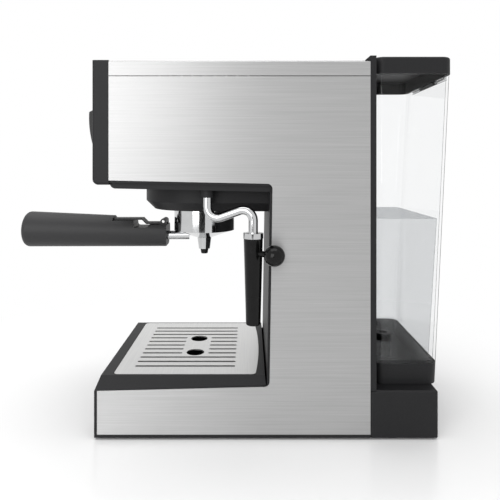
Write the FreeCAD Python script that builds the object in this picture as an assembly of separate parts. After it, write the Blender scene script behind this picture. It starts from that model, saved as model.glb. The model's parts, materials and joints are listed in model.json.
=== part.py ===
"""Pump espresso machine: steel-sided body, clear rear tank, portafilter, steam wand and drip tray.

Frame: millimetres, +Z up, the front of the machine faces -Y, +X is on the right of someone facing it.
The sizes are laid out about the middle of the body's footprint. The finished pieces are then moved so that
the origin is the middle of the whole machine, with its handle and steam wand, on the counter.
"""
import FreeCAD, Part
import math
import os

from FreeCAD import Vector as V

# Clearances
GAP = 0.3                  # between pieces that part or move
RUNNING = 0.05             # radial clearance of pins and swivels

# Body
HALF_WIDTH = 80.0          # half of the width over the steel sides
SHEET = 1.2                # steel side panels and top cover
WALL = 2.0                 # moulded plastic walls
BODY_FRONT = -146.2        # front of the drip tray, which is the front of the footprint
BODY_REAR = 146.2          # rear of the tank dock
FOOT_HEIGHT = 1.8
FOOT_RADIUS = 8.0
FOOT_TAPER = 1.0
FOOT_INSET = 18.0          # foot axis to the edges of the footprint
PLATE_THICK = 2.7
PLATE_TOP = FOOT_HEIGHT + PLATE_THICK
PANEL_REAR = 88.5          # rear edge of the steel sides
STEEL_TOP = 322.6          # top of the steel top cover
SKIRT = 13.2               # turned-down side of the top cover
SEAM = STEEL_TOP - SKIRT
SEAM_GAP = 0.6             # dark joint between the top cover and the side panels
COVER_RADIUS = 2.0
VENT_LENGTH = 44.0
VENT_WIDTH = 3.0
VENT_PITCH = 11.0
VENT_ROWS = 9

# Cup bay, the cut-out of the steel sides
HEAD_LOW_FRONT = 220.3     # lower edge of the head falls a little to the rear
HEAD_LOW_REAR = 217.4
BASE_TOP_FRONT = 41.6      # upper edge of the base rises a little to the rear
BASE_TOP_REAR = 45.0
BAY_REAR_TOP = 5.4         # rear edge of the bay leans back a little
BAY_REAR_LOW = 2.8
BAY_RADIUS = 4.5
HEAD_FRONT = -133.9        # front edge of the steel at the head
BASE_FRONT = -143.7        # front edge of the steel at the base

# Column skin, head underside and brew housing
SKIN = 2.4
SKIN_PROUD = 2.2           # the column's skin stands in front of the steel's edge
UNDER_DEPTH = 7.0          # the black underside hangs this far below the steel
UNDER_INSET = 2.5
UNDER_ROUND = 5.0
GROUP_Y = -59.5            # brew axis
HOUSING_INSET = 23.0       # housing inside the width over the steel sides
HOUSING_RADIUS = HALF_WIDTH - HOUSING_INSET
HOUSING_DROP = 27.5        # housing floor below the steel's lower edge
HOUSING_CHAMFER = 8.0
HOUSING_WALL = 3.0

# Control panel with three rocker switches
CONTROL_DEPTH = 14.3
CONTROL_FRONT = HEAD_FRONT - CONTROL_DEPTH
CONTROL_LOW = 216.5
CONTROL_WALL = 3.0
CONTROL_LOW_ROUND = 5.0
CONTROL_SIDE_ROUND = 2.5
ROCKER_XS = {"rocker_power": -48.0, "rocker_brew": 0.0, "rocker_steam": 48.0}
ROCKER_OFFSET = 7.44744    # pivots below the middle of the head
ROCKER_Z = (HEAD_LOW_FRONT + STEEL_TOP) / 2 - ROCKER_OFFSET
ROCKER_AXIS_DEPTH = 3.2    # pivot behind the panel's face
ROCKER_END_RADIUS = 19.5
ROCKER_HALF_WIDTH = 14.0
ROCKER_RISE = 10.3         # crown of the face in front of the pivot
ROCKER_FACE_RADIUS = 90.0
ROCKER_TAIL = 4.0          # body behind the pivot
ROCKER_TILT = 8.0          # degrees, top out
ROCKER_PIN_RADIUS = 1.5
ROCKER_FRAME = 2.5         # wall of the frame behind each opening
ROCKER_FRAME_DEPTH = 6.0
LENS_RADIUS = 1.8
LENS_RISE = 29.0           # lens above the pivot
LENS_PROUD = 0.4
BOARD_THICK = 1.6
BOARD_EDGE = 14.52866      # board above the panel's floor
BOARD_HALF_HEIGHT = ROCKER_Z - CONTROL_LOW - CONTROL_WALL - BOARD_EDGE
BOARD_INSET = 8.0          # board inside the width over the steel sides
BOARD_HALF_WIDTH = HALF_WIDTH - BOARD_INSET
BOARD_POST_RADIUS = 2.5
BOARD_CLEARANCE = 2.6      # board behind the rocker frames, clear of the tilting rockers

# Brew group
GROUP_RADIUS = 40.0
GROUP_LOW = 193.5
LIP_HEIGHT = 4.5           # ring that carries the portafilter's lugs
LIP_TOP = GROUP_LOW + LIP_HEIGHT
GROUP_TOP = 226.0
GASKET_HEIGHT = 5.0
GASKET_WIDTH = 5.0
SCREEN_RADIUS = 25.5
SCREEN_THICK = 2.0
SCREEN_HOLE_RADIUS = 1.0
SCREEN_RINGS = {9.0: 8, 15.0: 12, 21.0: 16}
SCREW_RADIUS = 3.4
SCREW_HEIGHT = 1.4

# Portafilter
BOWL_RADIUS = 30.0
BOWL_WALL = 1.8
BOWL_LOW = 169.0           # lower end of the straight wall
CONE_DROP = 8.0
LUG_HEIGHT = 3.6
LUG_REACH = 5.0            # lugs stand out from the bowl
LUG_ARC = 46.0             # degrees
UNLOCK_TURN = 45.0         # degrees from locked to the entry slots
SLOT_EASE = 4.0            # degrees of room at each side of a lug
BASKET_WALL = 0.8
BASKET_DEPTH = 24.0
BASKET_ROUND = 2.0
SPOUT_LENGTH = 11.0
SPOUT_TOP_RADIUS = 7.0
SPOUT_LOW_RADIUS = 5.6
SPOUT_BORE = 2.4
TIP_LENGTH = 5.0
TIP_RADIUS = 4.0
TIP_TAPER = 0.8
NECK_RADIUS = 4.4
NECK_Z = 163.2
NECK_IN_HANDLE = 22.0
HANDLE_BUTT = -237.7       # free end
HANDLE_HEAD = -96.1        # end by the bowl
HANDLE_BUTT_RADIUS = 17.6
HANDLE_HEAD_RADIUS = 14.2
HANDLE_BUTT_Z = 169.5
HANDLE_HEAD_Z = 166.4
HANDLE_ROUND = 5.0
FLAT_START = -149.3        # step down to the flat that takes the basket clip
FLAT_Z = 178.6
FLAT_HEAD_Z = 174.4        # the flat drops towards the bowl
FLAT_DROP_Y = -121.0
TOE_BEVEL = 3.0
FINGER_SLOT_LENGTH = 15.0
FINGER_SLOT_DEPTH = 6.5
CLIP_AXIS_Y = -99.5
CLIP_AXIS_Z = 177.6
CLIP_EYE_RADIUS = 2.9
CLIP_PIN_RADIUS = 1.3
CLIP_HALF_WIDTH = 6.0
CLIP_THICK = 1.8
EAR_THICK = 2.4

# Steam wand
WAND_INSET = 14.0          # swivel axis inside the steel's outer face
WAND_X = HALF_WIDTH - WAND_INSET
WAND_Y = -51.0
SOCKET_RADIUS = 6.0
SOCKET_HANG = 15.3         # socket below the steel's lower edge
SOCKET_LENGTH = 23.0
SOCKET_LOW = HEAD_LOW_FRONT - SOCKET_HANG
SOCKET_TOP = SOCKET_LOW + SOCKET_LENGTH
PIPE_RADIUS = 4.0
PIPE_SEAT = 6.0            # end of the pipe below the socket's top
PIPE_TOP = SOCKET_TOP - PIPE_SEAT
PIPE_DROP = 21.4           # socket to the corner of the lower bend
PIPE_RISE = 14.8           # lower to upper bend
PIPE_DIP = SOCKET_LOW - PIPE_DROP
PIPE_CREST = PIPE_DIP + PIPE_RISE
PIPE_BEND = 9.0
SLEEVE_INSET = 6.0
SLEEVE_X = HALF_WIDTH - SLEEVE_INSET
SLEEVE_Y = -11.0
SLEEVE_TOP = 170.4
SLEEVE_LOW = 96.0
SLEEVE_TOP_RADIUS = 8.3
SLEEVE_LOW_RADIUS = 6.3
SLEEVE_ROUND = 1.5
NUT_HEIGHT = 4.6
NUT_RADIUS = 8.7
NOZZLE_BORE = 1.2
NOZZLE_DEPTH = 8.0
BALL_REACH = 10.5          # ball's middle outside the steel's outer face
BALL_X = HALF_WIDTH + BALL_REACH
BALL_Y = 6.5
BALL_Z = 158.0
BALL_RADIUS = 8.8
STEM_RADIUS = 2.6
VALVE_HALF = 10.0          # steam valve block
VALVE_HEIGHT = 46.035
FEED_RADIUS = 2.5
FEED_DROP = 8.0            # feed tube below the valve's top

# Drip tray and grid
TRAY_TOP = 52.7
TRAY_INSET = 6.0           # tray's top inside the width over the steel sides
TRAY_TOP_HALF = HALF_WIDTH - TRAY_INSET
TRAY_TOP_FRONT = -142.0
TRAY_TOP_REAR = -1.0
TRAY_WALL = 2.2
TRAY_TOP_WALL = 3.2
TRAY_REAR = BAY_REAR_LOW - SKIN_PROUD - GAP
SUMP_INSET = 6.0           # sump inside the tray's top
SUMP_HALF = TRAY_TOP_HALF - SUMP_INSET
SUMP_FRONT = -127.0
SUMP_REAR = -13.0
SUMP_LOW = 10.0
RUNNER_INSET = 8.0         # runners inside the sump's sides
RUNNER_X = SUMP_HALF - RUNNER_INSET
RUNNER_WIDTH = 4.0
GRID_INSET = 2.0
GRID_HALF = TRAY_TOP_HALF - GRID_INSET
GRID_FRONT = -132.0
GRID_REAR = -9.0
GRID_BOW = 3.6             # bow of the grid's rear edge
GRID_CORNER = 4.0
GRID_THICK = 1.2
SLOT_COUNT = 11
SLOT_PITCH = 10.8
SLOT_WIDTH = 3.4
SLOT_FRONT = -117.0
SLOT_REAR = -27.0
CUP_HOLE_RADIUS = 8.5
CUP_HOLE_X = 19.7
CUP_HOLE_Y = -66.5
PLAIN_FRONT = -79.0        # plain area round the cup holes
PLAIN_REAR = -54.0

# Water tank, lid and dock
REAR_SKIN_BACK = 93.6
RAMP_FRONT = 84.4          # lip of the rear panel over the top cover
REAR_RISE = 3.8            # rear wall above the steel
REAR_TOP = STEEL_TOP + REAR_RISE
REAR_SHELL = 2.4
DOCK_TOP = 41.6
DOCK_ROOF = 10.0
DOCK_WALL = 4.0
DOCK_ROUND = 2.0
DOCK_BEVEL = 1.2
TANK_INSET = 13.0          # tank inside the width over the steel sides
TANK_HALF = HALF_WIDTH - TANK_INSET
TANK_FRONT = 95.0
TANK_REAR_LOW = 150.1
TANK_REAR_TOP = 163.2
TANK_DROP = 9.6            # tank's rim below the steel's top
TANK_TOP = STEEL_TOP - TANK_DROP
TANK_FOOT_TOP = 59.5
TANK_WALL = 2.4
TANK_CORNER = 9.0
LID_RISE = 5.4
LID_TOP = STEEL_TOP + LID_RISE
LID_OVERLAP = 2.0          # lid outside the tank's sides
LID_HALF = TANK_HALF + LID_OVERLAP
LID_CORNER = 9.0
LID_EDGE = 2.0
LID_REAR = 163.2
HINGE_Y = 164.6
HINGE_DROP = 0.4
HINGE_Z = TANK_TOP - HINGE_DROP
KNUCKLE_RADIUS = 2.2
HINGE_PIN_RADIUS = 1.0
KNUCKLE_SPLIT = 20.0       # the lid's knuckle lies inside this, the tank's outside
KNUCKLE_END = 46.0
HINGE_LINK = 3.4
INLET_Y = 120.0
INLET_RADIUS = 8.0
INLET_LOW = 34.0
INLET_TOP = 66.0
SOCKET_FLOOR = 33.0
SEAL_WIDTH = 1.6
SEAL_LOW = 36.0
SEAL_HEIGHT = 2.4
GLAND_X = -50.0
GLAND_Z = 20.0
GLAND_RADIUS = 6.0
GLAND_BORE = 3.6

# Works inside
BOILER_FLANGE_RADIUS = 46.0
BOILER_FLANGE = 5.0
BOILER_RADIUS = 34.0
BOILER_HALF = 25.9842
BOILER_SHOULDER = 8.0
BOLT_RADIUS = 2.5
BOLT_COUNT = 6
PUMP_X = -36.0
PUMP_Y = 46.0
PUMP_LOW = 30.0
PUMP_FRAME_LOW = 48.0
PUMP_FRAME_HEIGHT = 44.0
PUMP_FRAME_X = 20.0
PUMP_FRAME_Y = 18.0
PUMP_CORE_RADIUS = 11.0
PUMP_CORE_LOW = 40.0
PUMP_CORE_TOP = 114.0
PUMP_TOP = 124.0
PUMP_INLET_RADIUS = 4.0
PUMP_OUTLET_RADIUS = 6.0
CRADLE_MARGIN = 4.0
CRADLE_PLATE = 3.0
CRADLE_POST = 6.0
HOSE_RADIUS = 3.2
HOSE_BEND = 8.0
HOSE_FLOOR = 12.0
TUBE_RADIUS = 2.5
TUBE_BEND = 9.0
TUBE_CREST = 304.0

X_AXIS = V(1, 0, 0)
Y_AXIS = V(0, 1, 0)
Z_AXIS = V(0, 0, 1)
PANEL_INNER = HALF_WIDTH - SHEET
BOWL_TOP = LIP_TOP + GAP + LUG_HEIGHT + GAP
GROUP_CEILING = BOWL_TOP + BASKET_WALL + GAP + GASKET_HEIGHT
BOILER_TOP = GROUP_TOP + 2 * BOILER_HALF + BOILER_SHOULDER
ROCKER_Y = CONTROL_FRONT + ROCKER_AXIS_DEPTH
MIDDLE_X = (BALL_X + BALL_RADIUS - HALF_WIDTH) / 2
MIDDLE_Y = (HANDLE_BUTT + HINGE_Y + KNUCKLE_RADIUS) / 2


# Geometry helpers
def box(x0, x1, y0, y1, z0, z1):
    return Part.makeBox(x1 - x0, y1 - y0, z1 - z0, V(x0, y0, z0))


def cylinder(radius, start, end):
    direction = end - start
    return Part.makeCylinder(radius, direction.Length, start, direction)


def cone(radius_start, radius_end, start, end):
    direction = end - start
    return Part.makeCone(radius_start, radius_end, direction.Length, start, direction)


def ring(outer, inner, start, end):
    return cylinder(outer, start, end).cut(cylinder(inner, start, end))


def polygon_face(points):
    return Part.Face(Part.makePolygon(list(points) + [points[0]]))


def side_prism(profile, x0, x1):
    """A (y, z) outline extruded along X."""
    return polygon_face([V(x0, y, z) for y, z in profile]).extrude(V(x1 - x0, 0, 0))


def revolve_z(profile, y):
    """A closed (radius, z) outline turned about the vertical line at X = 0 and this y."""
    face = polygon_face([V(r, y, z) for r, z in profile])
    return face.revolve(V(0, y, 0), Z_AXIS, 360)


def edges_along(shape, direction, tolerance=0.01):
    """Straight edges that run within a small angle of a direction."""
    found = []
    for edge in shape.Edges:
        if isinstance(edge.Curve, Part.Line):
            run = edge.Vertexes[1].Point - edge.Vertexes[0].Point
            if abs(run.normalize().dot(direction)) > 1 - tolerance:
                found.append(edge)
    return found


def rounded_box(x0, x1, y0, y1, z0, z1, radius):
    solid = box(x0, x1, y0, y1, z0, z1)
    return solid.makeFillet(radius, edges_along(solid, Z_AXIS))


def frustum(low, high):
    """A block between two level rectangles, each given as x half, y0, y1, z."""
    loops = []
    for half, y0, y1, z in (low, high):
        corners = [V(-half, y0, z), V(half, y0, z), V(half, y1, z), V(-half, y1, z)]
        loops.append(Part.makePolygon(corners + [corners[0]]))
    return Part.makeLoft(loops, True, True)


def swept_bar(points, radius, bend):
    """A round bar along straight runs joined by tangent arcs."""
    edges = []
    start = points[0]
    for before, corner, after in zip(points, points[1:], points[2:]):
        back = (before - corner).normalize()
        ahead = (after - corner).normalize()
        half = math.acos(max(-1.0, min(1.0, back.dot(ahead)))) / 2
        setback = bend / math.tan(half)
        arc_start = corner + back * setback
        arc_end = corner + ahead * setback
        middle = corner + (back + ahead).normalize() * (bend / math.sin(half) - bend)
        edges.append(Part.LineSegment(start, arc_start).toShape())
        edges.append(Part.Arc(arc_start, middle, arc_end).toShape())
        start = arc_end
    edges.append(Part.LineSegment(start, points[-1]).toShape())
    section = Part.Wire(Part.makeCircle(radius, points[0], points[1] - points[0]))
    return Part.Wire(edges).makePipeShell([section], True, False)


def sector(outer, inner, z0, z1, start, sweep):
    """Part of a ring about the brew axis, from a start angle over a sweep, in degrees from +X."""
    foot = V(0, GROUP_Y, z0)
    piece = Part.makeCylinder(outer, z1 - z0, foot, Z_AXIS, sweep)
    piece = piece.cut(Part.makeCylinder(inner, z1 - z0, foot, Z_AXIS, sweep))
    piece.rotate(foot, Z_AXIS, start)
    return piece


def fuse(first, *others):
    return first.multiFuse(list(others)).removeSplitter()


def on_brew_axis(z):
    return V(0, GROUP_Y, z)


def head_edge(y):
    """Height of the steel's lower edge at the head."""
    share = (y - HEAD_FRONT) / (BAY_REAR_TOP - HEAD_FRONT)
    return HEAD_LOW_FRONT + share * (HEAD_LOW_REAR - HEAD_LOW_FRONT)


def base_edge(y):
    """Height of the steel's upper edge at the base."""
    share = (y - BASE_FRONT) / (BAY_REAR_LOW - BASE_FRONT)
    return BASE_TOP_FRONT + share * (BASE_TOP_REAR - BASE_TOP_FRONT)


# Body
def side_panel(x_inner, x_outer):
    """C-shaped steel side."""
    outline = [
        (BASE_FRONT, PLATE_TOP), (PANEL_REAR, PLATE_TOP), (PANEL_REAR, SEAM - SEAM_GAP),
        (HEAD_FRONT, SEAM - SEAM_GAP), (HEAD_FRONT, HEAD_LOW_FRONT), (BAY_REAR_TOP, HEAD_LOW_REAR),
        (BAY_REAR_LOW, BASE_TOP_REAR), (BASE_FRONT, BASE_TOP_FRONT),
    ]
    plate = side_prism(outline, x_inner, x_outer)
    bay = [e for e in edges_along(plate, X_AXIS)
           if BAY_REAR_LOW - GAP < e.CenterOfMass.y < BAY_REAR_TOP + GAP]
    return plate.makeFillet(BAY_RADIUS, bay)


def top_cover():
    """Steel cap with turned-down sides and two rows of vents over the boiler."""
    cover = box(-HALF_WIDTH, HALF_WIDTH, HEAD_FRONT, PANEL_REAR, SEAM, STEEL_TOP)
    upper = [e for e in edges_along(cover, Y_AXIS) if e.CenterOfMass.z > SEAM + SHEET]
    cover = cover.makeFillet(COVER_RADIUS, upper)
    cover = cover.cut(box(-PANEL_INNER, PANEL_INNER, HEAD_FRONT, PANEL_REAR, SEAM, STEEL_TOP - SHEET))
    vents = []
    shift = (VENT_LENGTH + VENT_PITCH) / 2
    for row in range(VENT_ROWS):
        y = GROUP_Y + (row - (VENT_ROWS - 1) / 2) * VENT_PITCH
        for x in (-shift, shift):
            vents.append(rounded_box(x - VENT_LENGTH / 2, x + VENT_LENGTH / 2, y - VENT_WIDTH / 2,
                                     y + VENT_WIDTH / 2, STEEL_TOP - SHEET, STEEL_TOP, VENT_WIDTH * 0.49))
    return cover.cut(Part.makeCompound(vents))


def base_plate():
    """Floor of the body, with side rails and the two runners that carry the drip tray."""
    plate = box(-HALF_WIDTH, HALF_WIDTH, BODY_FRONT, PANEL_REAR, FOOT_HEIGHT, PLATE_TOP)
    rear = BAY_REAR_LOW - SKIN_PROUD
    pieces = []
    for side in (-1, 1):
        near, far = sorted((side * PANEL_INNER, side * (PANEL_INNER - WALL)))
        pieces.append(box(near, far, BASE_FRONT + WALL, rear, PLATE_TOP, BASE_TOP_FRONT / 2))
        x = side * RUNNER_X
        pieces.append(box(x - RUNNER_WIDTH / 2, x + RUNNER_WIDTH / 2, SUMP_FRONT, rear, PLATE_TOP,
                          SUMP_LOW - TRAY_WALL - GAP))
    return fuse(plate, *pieces)


def rubber_feet():
    feet = []
    for x in (-HALF_WIDTH + FOOT_INSET, HALF_WIDTH - FOOT_INSET):
        for y in (BODY_FRONT + FOOT_INSET, BODY_REAR - FOOT_INSET):
            feet.append(cone(FOOT_RADIUS - FOOT_TAPER, FOOT_RADIUS, V(x, y, 0), V(x, y, FOOT_HEIGHT)))
    return Part.makeCompound(feet)


def housing_drum(radius, low_z, high_z, rear):
    """U-shaped block round the brew axis, running back to the column."""
    arc = Part.Arc(V(radius, GROUP_Y, low_z), V(0, GROUP_Y - radius, low_z), V(-radius, GROUP_Y, low_z))
    corners = [V(-radius, GROUP_Y, low_z), V(-radius, rear, low_z), V(radius, rear, low_z),
               V(radius, GROUP_Y, low_z)]
    walls = [Part.LineSegment(a, b).toShape() for a, b in zip(corners, corners[1:])]
    return Part.Face(Part.Wire([arc.toShape()] + walls)).extrude(V(0, 0, high_z - low_z))


def head_underside():
    """Black underside of the head, with the round brew housing that hangs from it."""
    rear = BAY_REAR_TOP - SKIN_PROUD + SKIN
    inset = PANEL_INNER - UNDER_INSET

    def band(drop, half):
        return side_prism([(HEAD_FRONT, head_edge(HEAD_FRONT) - drop), (HEAD_FRONT, head_edge(HEAD_FRONT)),
                           (rear, head_edge(rear)), (rear, head_edge(rear) - drop)], -half, half)

    deck = band(UNDER_DEPTH, inset)
    front_low = [e for e in edges_along(deck, X_AXIS)
                 if e.CenterOfMass.y < HEAD_FRONT + GAP and e.CenterOfMass.z < head_edge(HEAD_FRONT) - GAP]
    deck = deck.makeFillet(UNDER_ROUND, front_low)
    floor_z = head_edge(GROUP_Y) - HOUSING_DROP
    drum = housing_drum(HOUSING_RADIUS, floor_z, head_edge(rear), rear)
    rim = [e for e in drum.Edges if e.BoundBox.ZMax < floor_z + GAP and e.CenterOfMass.y < rear - GAP]
    drum = drum.makeChamfer(HOUSING_CHAMFER, rim)
    inner = housing_drum(HOUSING_RADIUS - HOUSING_WALL, floor_z + HOUSING_CHAMFER, HEAD_LOW_FRONT + GAP,
                         rear - HOUSING_WALL)
    mouth = cylinder(GROUP_RADIUS, on_brew_axis(floor_z), on_brew_axis(HEAD_LOW_FRONT))
    swivel = cylinder(SOCKET_RADIUS, V(WAND_X, WAND_Y, SOCKET_LOW), V(WAND_X, WAND_Y, SOCKET_TOP))
    return fuse(deck, band(WALL, PANEL_INNER), drum).cut(inner).cut(mouth).cut(swivel)


def column_front(underside):
    """Black skin of the column, from the base plate up to the head."""
    low_y, top_y = BAY_REAR_LOW - SKIN_PROUD, BAY_REAR_TOP - SKIN_PROUD
    top_z = HEAD_LOW_REAR - UNDER_DEPTH
    profile = [(low_y, PLATE_TOP), (low_y + SKIN, PLATE_TOP), (low_y + SKIN, BASE_TOP_REAR),
               (top_y + SKIN, top_z), (top_y, top_z), (low_y, BASE_TOP_REAR)]
    return side_prism(profile, -PANEL_INNER, PANEL_INNER).cut(underside)


def rocker_places():
    return [V(x, ROCKER_Y, ROCKER_Z) for x in ROCKER_XS.values()]


def lens_places():
    return [V(x, CONTROL_FRONT, ROCKER_Z + LENS_RISE) for x in ROCKER_XS.values()]


def control_panel():
    """Black front moulding with a framed opening for each rocker and a hole for each lens."""
    panel = box(-HALF_WIDTH, HALF_WIDTH, CONTROL_FRONT, HEAD_FRONT, CONTROL_LOW, STEEL_TOP)
    low_front = [e for e in edges_along(panel, X_AXIS)
                 if e.CenterOfMass.y < HEAD_FRONT - GAP and e.CenterOfMass.z < SEAM]
    panel = panel.makeFillet(CONTROL_LOW_ROUND, low_front)
    uprights = [e for e in edges_along(panel, Z_AXIS) if e.CenterOfMass.y < HEAD_FRONT - GAP]
    panel = panel.makeFillet(CONTROL_SIDE_ROUND, uprights)
    back = CONTROL_FRONT + CONTROL_WALL
    panel = panel.cut(box(-HALF_WIDTH + CONTROL_WALL, HALF_WIDTH - CONTROL_WALL, back, HEAD_FRONT,
                          CONTROL_LOW + CONTROL_WALL, STEEL_TOP - CONTROL_WALL))
    half_x = ROCKER_HALF_WIDTH + GAP
    half_z = ROCKER_END_RADIUS + GAP
    frames, openings = [], []
    for place in rocker_places():
        frame_x, frame_z = half_x + ROCKER_FRAME, half_z + ROCKER_FRAME
        frames.append(box(place.x - frame_x, place.x + frame_x, back, back + ROCKER_FRAME_DEPTH,
                          ROCKER_Z - frame_z, ROCKER_Z + frame_z))
        openings.append(box(place.x - half_x, place.x + half_x, CONTROL_FRONT, back + ROCKER_FRAME_DEPTH,
                            ROCKER_Z - half_z, ROCKER_Z + half_z))
        openings.append(rocker_pin(place))
    openings += [cylinder(LENS_RADIUS, p, p + Y_AXIS * CONTROL_WALL) for p in lens_places()]
    panel = fuse(panel, *frames)
    for opening in openings:
        panel = panel.cut(opening)
    return panel


def rocker_pin(place):
    reach = X_AXIS * (ROCKER_HALF_WIDTH + GAP + ROCKER_FRAME)
    return cylinder(ROCKER_PIN_RADIUS, place - reach, place + reach)


def rocker_pins():
    return Part.makeCompound([rocker_pin(place) for place in rocker_places()])


def rocker(x):
    """Rocker with round ends about its pivot and a crowned face, resting with its top out."""
    half = X_AXIS * ROCKER_HALF_WIDTH
    pivot = V(x, ROCKER_Y, ROCKER_Z)
    body = cylinder(ROCKER_END_RADIUS, pivot - half, pivot + half)
    crown = pivot + Y_AXIS * (ROCKER_FACE_RADIUS - ROCKER_RISE)
    body = body.common(cylinder(ROCKER_FACE_RADIUS, crown - half, crown + half))
    reach = ROCKER_END_RADIUS + GAP
    tail = box(x - reach, x + reach, ROCKER_Y + ROCKER_TAIL, ROCKER_Y + reach,
               ROCKER_Z - reach, ROCKER_Z + reach)
    bore = cylinder(ROCKER_PIN_RADIUS + RUNNING, pivot - half, pivot + half)
    body = body.cut(tail).cut(bore)
    body.rotate(pivot, X_AXIS, ROCKER_TILT)
    return body


def indicator_lenses():
    return Part.makeCompound([cylinder(LENS_RADIUS, p - Y_AXIS * LENS_PROUD, p + Y_AXIS * CONTROL_WALL)
                              for p in lens_places()])


def control_board():
    """Printed board behind the rockers, on posts from the back of the control panel."""
    back = CONTROL_FRONT + CONTROL_WALL
    face = back + ROCKER_FRAME_DEPTH + BOARD_CLEARANCE
    board = box(-BOARD_HALF_WIDTH, BOARD_HALF_WIDTH, face, face + BOARD_THICK,
                ROCKER_Z - BOARD_HALF_HEIGHT, ROCKER_Z + BOARD_HALF_HEIGHT)
    posts = []
    for x in (-BOARD_HALF_WIDTH, BOARD_HALF_WIDTH):
        for z in (-BOARD_HALF_HEIGHT, BOARD_HALF_HEIGHT):
            corner = V(x - math.copysign(BOARD_POST_RADIUS, x), 0,
                       ROCKER_Z + z - math.copysign(BOARD_POST_RADIUS, z))
            posts.append(cylinder(BOARD_POST_RADIUS, corner + Y_AXIS * back, corner + Y_AXIS * face))
    return fuse(board, *posts)


def rear_panel():
    """Black rear wall, with a raised lip that slopes down onto the top cover."""
    profile = [(PANEL_REAR, DOCK_TOP), (REAR_SKIN_BACK, DOCK_TOP), (REAR_SKIN_BACK, REAR_TOP),
               (PANEL_REAR, REAR_TOP),
               (RAMP_FRONT, STEEL_TOP + GAP), (RAMP_FRONT, STEEL_TOP), (PANEL_REAR, STEEL_TOP)]
    panel = side_prism(profile, -HALF_WIDTH, HALF_WIDTH)
    pocket = box(-PANEL_INNER + REAR_SHELL, PANEL_INNER - REAR_SHELL, PANEL_REAR, REAR_SKIN_BACK - REAR_SHELL,
                 DOCK_TOP + REAR_SHELL, SEAM)
    return panel.cut(pocket)


def tank_dock(hose):
    """Black block under the tank, open inside, with the tank's inlet socket in its roof."""
    block = rounded_box(-HALF_WIDTH, HALF_WIDTH, PANEL_REAR, BODY_REAR, FOOT_HEIGHT, DOCK_TOP, DOCK_ROUND)
    rim = [e for e in block.Edges
           if e.BoundBox.ZMin > DOCK_TOP - GAP and e.BoundBox.YMax > PANEL_REAR + DOCK_ROUND]
    block = block.makeChamfer(DOCK_BEVEL, rim)
    hollow = box(-HALF_WIDTH + DOCK_WALL, HALF_WIDTH - DOCK_WALL, PANEL_REAR + DOCK_WALL,
                 BODY_REAR - DOCK_WALL, FOOT_HEIGHT + WALL, DOCK_TOP - DOCK_ROOF)
    socket = cylinder(INLET_RADIUS + SEAL_WIDTH, V(0, INLET_Y, SOCKET_FLOOR), V(0, INLET_Y, DOCK_TOP))
    gland = cylinder(GLAND_RADIUS, V(GLAND_X, BODY_REAR - DOCK_WALL, GLAND_Z), V(GLAND_X, BODY_REAR, GLAND_Z))
    return block.cut(hollow).cut(socket).cut(gland).cut(hose)


def inlet_seal():
    """Rubber ring in the dock's socket, round the tank's outlet."""
    return ring(INLET_RADIUS + SEAL_WIDTH, INLET_RADIUS + RUNNING, V(0, INLET_Y, SEAL_LOW),
                V(0, INLET_Y, SEAL_LOW + SEAL_HEIGHT))


def cord_gland():
    """Bush in the dock's rear wall, where a mains lead passes."""
    inside, outside = V(GLAND_X, BODY_REAR - DOCK_WALL, GLAND_Z), V(GLAND_X, BODY_REAR, GLAND_Z)
    return ring(GLAND_RADIUS, GLAND_BORE, inside, outside)


# Works inside the body
def group_head():
    """Cast group: the portafilter's lugs ride on its lower lip, between two entry slots."""
    body = cylinder(GROUP_RADIUS, on_brew_axis(GROUP_LOW), on_brew_axis(GROUP_TOP))
    reach = BOWL_RADIUS + LUG_REACH + GAP
    body = body.cut(cylinder(reach, on_brew_axis(LIP_TOP), on_brew_axis(GROUP_CEILING)))
    lip_bore = BOWL_RADIUS + 2 * GAP
    body = body.cut(cylinder(lip_bore, on_brew_axis(GROUP_LOW), on_brew_axis(LIP_TOP)))
    for start in lug_starts():
        entry = start - UNLOCK_TURN - SLOT_EASE
        body = body.cut(sector(reach, lip_bore - WALL, GROUP_LOW, LIP_TOP, entry, LUG_ARC + 2 * SLOT_EASE))
    return body


def lug_starts():
    """Start angles of the two lugs when locked, one to the rear and one to the front."""
    return [90.0 - LUG_ARC / 2, 270.0 - LUG_ARC / 2]


def group_gasket():
    return ring(SCREEN_RADIUS + GASKET_WIDTH, SCREEN_RADIUS, on_brew_axis(GROUP_CEILING - GASKET_HEIGHT),
                on_brew_axis(GROUP_CEILING))


def shower_screen():
    """Steel disc under the group with rings of water holes."""
    low = GROUP_CEILING - SCREEN_THICK
    screen = cylinder(SCREEN_RADIUS, on_brew_axis(low), on_brew_axis(GROUP_CEILING))
    holes = []
    for radius, count in SCREEN_RINGS.items():
        for i in range(count):
            angle = 2 * math.pi * i / count
            place = on_brew_axis(low) + V(radius * math.cos(angle), radius * math.sin(angle), 0)
            holes.append(cylinder(SCREEN_HOLE_RADIUS, place, place + Z_AXIS * SCREEN_THICK))
    return screen.cut(Part.makeCompound(holes))


def screen_screw():
    top = GROUP_CEILING - SCREEN_THICK
    return cone(SCREW_RADIUS - SCREW_HEIGHT / 2, SCREW_RADIUS, on_brew_axis(top - SCREW_HEIGHT),
                on_brew_axis(top))


def boiler():
    """Boiler in two flanged halves, standing on the group."""
    low, mid = GROUP_TOP, GROUP_TOP + BOILER_HALF
    profile = [(0, low), (GROUP_RADIUS, low), (BOILER_RADIUS, low + BOILER_SHOULDER),
               (BOILER_RADIUS, mid - BOILER_FLANGE), (BOILER_FLANGE_RADIUS, mid - BOILER_FLANGE),
               (BOILER_FLANGE_RADIUS, mid + BOILER_FLANGE), (BOILER_RADIUS, mid + BOILER_FLANGE),
               (BOILER_RADIUS, BOILER_TOP - BOILER_SHOULDER), (BOILER_RADIUS - BOILER_SHOULDER, BOILER_TOP),
               (0, BOILER_TOP)]
    return revolve_z(profile, GROUP_Y)


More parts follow.
